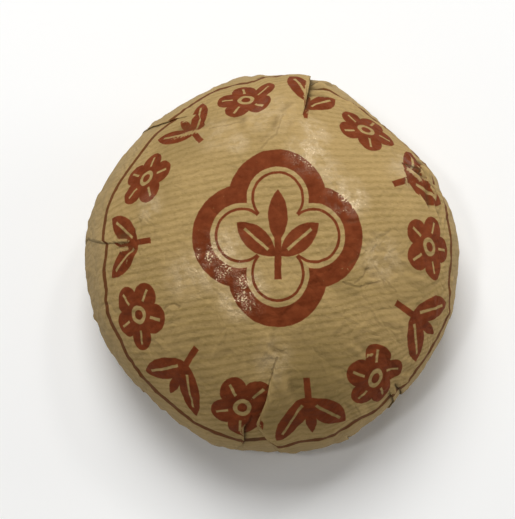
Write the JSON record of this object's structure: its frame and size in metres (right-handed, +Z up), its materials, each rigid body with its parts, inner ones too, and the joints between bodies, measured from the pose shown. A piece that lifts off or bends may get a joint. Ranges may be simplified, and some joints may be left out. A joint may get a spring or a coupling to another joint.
{
  "type": "pu-erh tuocha",
  "caption": "Domed cake of pressed tea shut in ribbed kraft paper, pleated over the shoulder and twisted up into the hollow underneath. It stands on its rim.",
  "frame": {"origin": "on the table under the middle of the part's box", "axes": "+Z up through the dome, -Y towards the viewer of the picture"},
  "size_m": [0.0858, 0.088, 0.045],
  "materials": {
    "kraft_paper": "ribbed kraft with a machine-glazed face, printed in brick red"
  },
  "bodies": {
    "root": {"wrapped_tuocha": "kraft_paper"}
  },
  "joints": []
}
